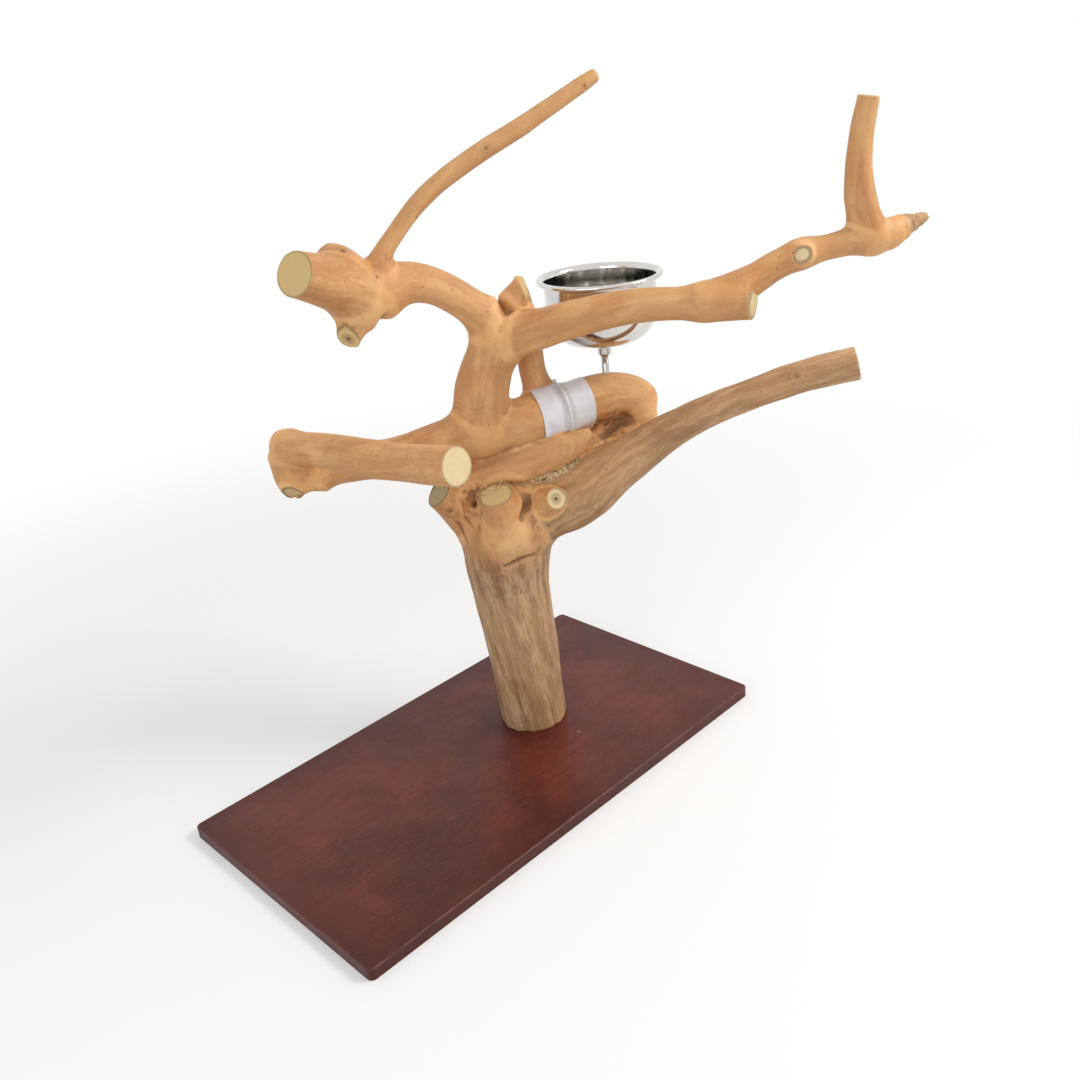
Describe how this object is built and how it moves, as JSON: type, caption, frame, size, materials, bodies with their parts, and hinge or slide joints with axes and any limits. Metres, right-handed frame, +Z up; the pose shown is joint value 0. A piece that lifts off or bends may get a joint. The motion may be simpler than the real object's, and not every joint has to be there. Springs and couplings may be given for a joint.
{
  "type": "parrot play stand",
  "caption": "Table-top play stand for a parrot: a natural many-limbed timber on a flat stained board, with a steel food cup that screws off its post.",
  "frame": {"origin": "middle of the board's underside, on the surface that it stands on", "axes": "+X along the board's long side, towards the trunk's end; +Y across it; +Z up"},
  "size_m": [0.6588, 0.455, 0.6979],
  "materials": {
    "board": "reddish brown stain, satin",
    "trunk_timber": "peeled, greyish tan, fluted",
    "timber": "peeled, warm tan, smooth",
    "bark": "rough grey bark",
    "cup_steel": "mirror polished stainless steel",
    "rod_steel": "turned stainless steel",
    "screw_steel": "zinc plated",
    "tag_paper": "plain white paper",
    "tape": "clear adhesive tape",
    "tie": "white nylon"
  },
  "bodies": {
    "stand": {"base_board": "board", "foot_screws": "screw_steel", "trunk": "trunk_timber", "lower_right_branch": "trunk_timber", "wedge_stub": "timber", "crossing_limb": "timber", "crossing_root": "timber", "front_left_arm": "timber", "upright": "timber", "rear_limb": "timber", "crotch_stub": "timber", "upper_left_arm": "timber", "twig_perch": "timber", "upper_right_arm": "timber", "outer_right_branch": "timber", "upright_prong": "timber", "bark_tip": "bark", "cup_post": "rod_steel", "cup_coupling": "rod_steel", "paper_tag": "tag_paper", "tag_tape": "tape", "cable_tie": "tie"},
    "cup_bolt": {"cup_bolt": "rod_steel"},
    "cup": {"cup_bowl": "cup_steel"}
  },
  "joints": [
    {"name": "cup_rise", "type": "slide", "parent": "stand", "child": "cup_bolt", "axis": [0, 0, 1], "range_m": [0, 0.007]},
    {"name": "cup_spin", "type": "hinge", "parent": "cup_bolt", "child": "cup", "pos_m": [0.204, -0.03, 0.425], "axis": [0, 0, 1], "range_deg": [0, 2520]}
  ],
  "couplings": [
    {"joint": "cup_rise", "follows": "cup_spin", "m_per_rad": 0.00015915}
  ]
}
